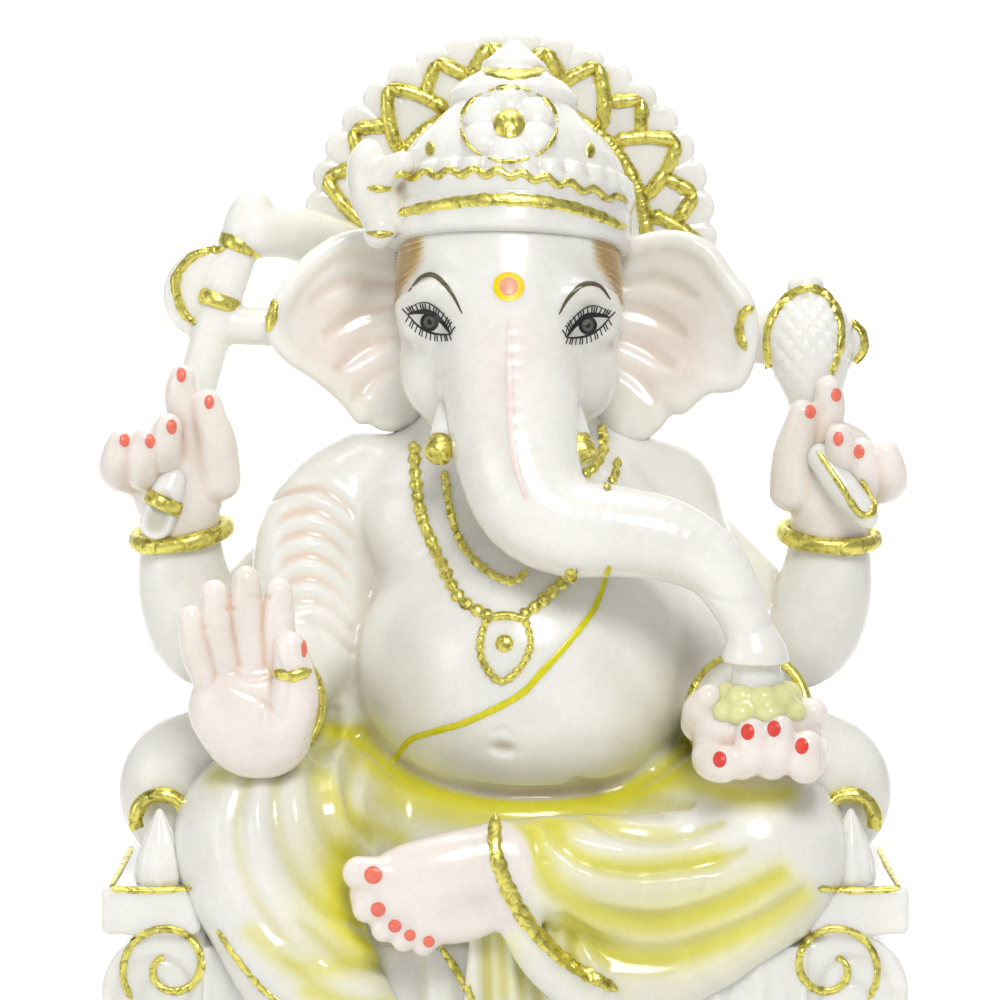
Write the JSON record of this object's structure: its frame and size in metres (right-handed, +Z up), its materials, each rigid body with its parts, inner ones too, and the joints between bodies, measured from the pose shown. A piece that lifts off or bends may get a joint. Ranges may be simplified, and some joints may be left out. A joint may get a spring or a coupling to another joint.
{
  "type": "ganesha idol",
  "caption": "Four-armed elephant-headed deity in white marble, seated on a scroll-armed throne before a scalloped halo, with gilded jewellery, an axe, a bud-shaped club and a bowl of sweets",
  "frame": {"origin": "on the floor, under the middle of the plinth", "axes": "+Z up, the idol faces -Y, +X is to the viewer's right from the front"},
  "size_m": [0.196, 0.124, 0.3053],
  "materials": {
    "marble": "polished white marble",
    "gold_leaf": "crinkled gold leaf",
    "painted_sweets": "yellow-green paint on marble"
  },
  "bodies": {
    "root": {"arm_console_left": "marble", "arm_console_right": "marble", "arm_front_left": "marble", "arm_front_right": "marble", "arm_ledge_left": "marble", "arm_ledge_right": "marble", "arm_rear_left": "marble", "arm_rear_right": "marble", "axe_blade": "marble", "axe_pommel": "marble", "axe_shaft": "marble", "axe_strut": "marble", "bangle_rear_left": "gold_leaf", "bangle_rear_right": "gold_leaf", "bangles_front": "gold_leaf", "bolster_left": "marble", "bolster_right": "marble", "bolster_rings": "gold_leaf", "bolster_tassel_left": "marble", "bolster_tassel_right": "marble", "centre_pleats": "marble", "chain_long": "gold_leaf", "chain_short": "gold_leaf", "club_grip": "marble", "club_head": "marble", "club_knob": "marble", "crown_band": "marble", "crown_cap": "marble", "crown_crest": "marble", "crown_dome": "marble", "crown_finial": "marble", "crown_rosette": "marble", "ear_left": "marble", "ear_right": "marble", "ear_strut_left": "marble", "ear_strut_right": "marble", "foot_folded": "marble", "foot_pendant": "marble", "halo": "marble", "halo_bracket": "marble", "halo_trim": "gold_leaf", "hand_offering": "marble", "hand_open": "marble", "hand_rear_left": "marble", "hand_rear_right": "marble", "head": "marble", "leg_folded": "marble", "leg_pendant": "marble", "pendant": "gold_leaf", "plinth": "marble", "seat_block": "marble", "seat_drape": "marble", "shawl": "marble", "sweets": "painted_sweets", "torso": "marble", "trunk": "marble", "tusk_caps": "gold_leaf", "tusk_left": "marble", "tusk_right": "marble", "waist_cloth": "marble"}
  },
  "joints": []
}
